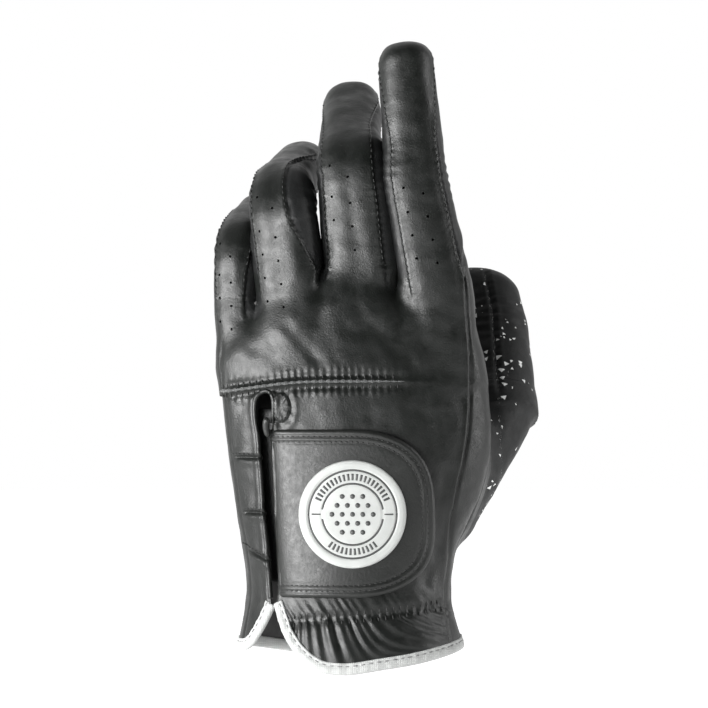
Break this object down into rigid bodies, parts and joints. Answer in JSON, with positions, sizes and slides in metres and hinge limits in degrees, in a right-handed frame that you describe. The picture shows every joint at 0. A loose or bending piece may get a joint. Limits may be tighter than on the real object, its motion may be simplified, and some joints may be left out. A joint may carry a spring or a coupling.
{
  "type": "golf glove",
  "caption": "Black leather golf glove for the left hand, in the shape of a hand, with a hook-and-loop wrist tab, a round rubber badge and a pale bound cuff.",
  "frame": {"origin": "middle of the wrist opening, in the plane of the cuff", "axes": "+Z from the wrist up to the fingertips, +X towards the thumb, -Y out of the back of the hand"},
  "size_m": [0.1052, 0.0811, 0.2028],
  "materials": {
    "black_leather": "satin",
    "side_leather": "satin",
    "printed_leather": "satin",
    "tab_leather": "matte",
    "binding_tape": "matte",
    "badge_rubber": "matte",
    "badge_relief": "matte",
    "elastic": "matte",
    "loop_fabric": "matte",
    "hook_plastic": "matte"
  },
  "bodies": {
    "hand": {"back_panel": "black_leather", "pinky_side_panel": "black_leather", "palm_panel": "black_leather", "thumb_side_panel": "black_leather", "thumb_root": "printed_leather", "knuckle_elastic": "elastic", "wrist_elastic": "elastic", "slit_facing": "black_leather", "slit_reinforcement": "black_leather", "cuff_binding_back": "binding_tape", "cuff_binding_pinky": "binding_tape", "cuff_binding_palm": "binding_tape", "loop_patch": "loop_fabric", "web_index_middle": "side_leather", "web_middle_ring": "side_leather", "web_ring_pinky": "side_leather"},
    "tab": {"closure_tab": "tab_leather", "hook_patch": "hook_plastic", "badge_disc": "badge_rubber", "badge_relief": "badge_relief"},
    "index_lower": {"index_lower_back": "black_leather", "index_lower_outer_side": "side_leather", "index_lower_palm": "black_leather", "index_lower_inner_side": "side_leather"},
    "index_upper": {"index_upper_back": "black_leather", "index_upper_outer_side": "side_leather", "index_upper_palm": "black_leather", "index_upper_inner_side": "side_leather"},
    "middle_lower": {"middle_lower_back": "black_leather", "middle_lower_outer_side": "side_leather", "middle_lower_palm": "black_leather", "middle_lower_inner_side": "side_leather"},
    "middle_upper": {"middle_upper_back": "black_leather", "middle_upper_outer_side": "side_leather", "middle_upper_palm": "black_leather", "middle_upper_inner_side": "side_leather"},
    "ring_lower": {"ring_lower_back": "black_leather", "ring_lower_outer_side": "side_leather", "ring_lower_palm": "black_leather", "ring_lower_inner_side": "side_leather"},
    "ring_upper": {"ring_upper_back": "black_leather", "ring_upper_outer_side": "side_leather", "ring_upper_palm": "black_leather", "ring_upper_inner_side": "side_leather"},
    "pinky_lower": {"pinky_lower_back": "black_leather", "pinky_lower_outer_side": "side_leather", "pinky_lower_palm": "black_leather", "pinky_lower_inner_side": "side_leather"},
    "pinky_upper": {"pinky_upper_back": "black_leather", "pinky_upper_outer_side": "side_leather", "pinky_upper_palm": "black_leather", "pinky_upper_inner_side": "side_leather"},
    "thumb_lower": {"thumb_lower_inner": "printed_leather", "thumb_lower_outer": "printed_leather"},
    "thumb_upper": {"thumb_upper_inner": "printed_leather", "thumb_upper_outer": "printed_leather"}
  },
  "joints": [
    {"name": "tab_open", "type": "hinge", "parent": "hand", "child": "tab", "pos_m": [-0.0268, -0.0152, 0.0465], "axis": [0.0437, 0, -0.999], "range_deg": [0, 150]},
    {"name": "index_root", "type": "hinge", "parent": "hand", "child": "index_lower", "pos_m": [0.0283, -0.006, 0.1195], "axis": [-0.9833, 0, -0.1822], "range_deg": [-8, 30]},
    {"name": "index_middle", "type": "hinge", "parent": "index_lower", "child": "index_upper", "pos_m": [0.022, -0.00652, 0.15411], "axis": [-0.9916, 0.0003, -0.1294], "range_deg": [-5, 40]},
    {"name": "middle_root", "type": "hinge", "parent": "hand", "child": "middle_lower", "pos_m": [0.0023, -0.003, 0.122], "axis": [-0.9879, 0.1213, -0.0969], "range_deg": [-8, 25]},
    {"name": "middle_middle", "type": "hinge", "parent": "middle_lower", "child": "middle_upper", "pos_m": [-0.00217, -0.00942, 0.15956], "axis": [-0.9879, 0.1213, -0.0969], "range_deg": [-56, 12]},
    {"name": "ring_root", "type": "hinge", "parent": "hand", "child": "ring_lower", "pos_m": [-0.0207, -0.003, 0.12], "axis": [-0.9526, 0.2822, -0.1136], "range_deg": [-8, 25]},
    {"name": "ring_middle", "type": "hinge", "parent": "ring_lower", "child": "ring_upper", "pos_m": [-0.02554, -0.00797, 0.14822], "axis": [-0.9526, 0.2822, -0.1136], "range_deg": [-66, 12]},
    {"name": "pinky_root", "type": "hinge", "parent": "hand", "child": "pinky_lower", "pos_m": [-0.037, 0.0034, 0.1115], "axis": [-0.9547, 0.2919, -0.0586], "range_deg": [-8, 25]},
    {"name": "pinky_middle", "type": "hinge", "parent": "pinky_lower", "child": "pinky_upper", "pos_m": [-0.03944, 0.00006, 0.13453], "axis": [-0.9547, 0.2919, -0.0586], "range_deg": [-64, 12]},
    {"name": "thumb_root", "type": "hinge", "parent": "hand", "child": "thumb_lower", "pos_m": [0.0484, 0.0254, 0.081], "axis": [0, -0.8821, 0.4711], "range_deg": [-10, 20]},
    {"name": "thumb_middle", "type": "hinge", "parent": "thumb_lower", "child": "thumb_upper", "pos_m": [0.04715, 0.03912, 0.10668], "axis": [0, -0.8821, 0.4711], "range_deg": [-10, 35]}
  ]
}
